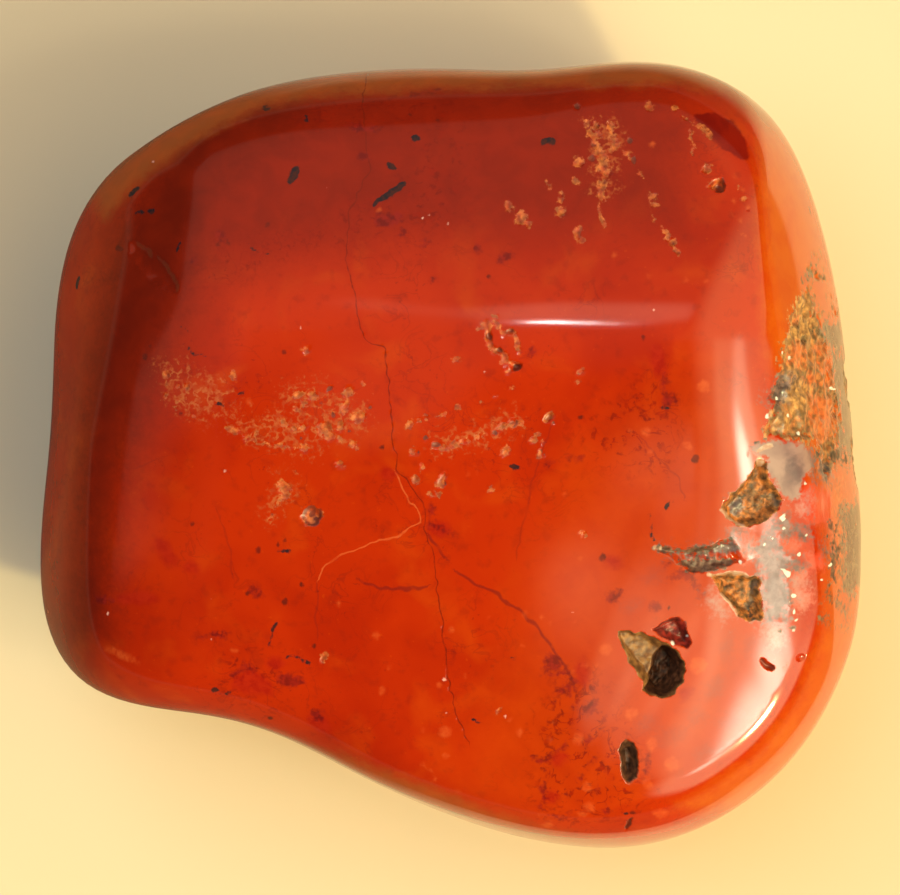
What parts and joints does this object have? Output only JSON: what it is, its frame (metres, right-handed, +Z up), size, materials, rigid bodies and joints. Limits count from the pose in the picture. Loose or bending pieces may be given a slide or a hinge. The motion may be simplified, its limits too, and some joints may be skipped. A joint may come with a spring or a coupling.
{
  "type": "tumbled red jasper pebble",
  "caption": "Polished tumbled pebble of red jasper with soft facets, small pits and a rough mineral pocket along one edge.",
  "frame": {"origin": "on the resting surface, under the middle of the stone's box", "axes": "+X along the longest extent, +Y towards the far edge of the picture, +Z up through the thickness"},
  "size_m": [0.034, 0.0326, 0.0175],
  "materials": {
    "jasper": "high polish, rough only in the pits and the crust at the right edge"
  },
  "bodies": {
    "root": {"stone": "jasper"}
  },
  "joints": []
}
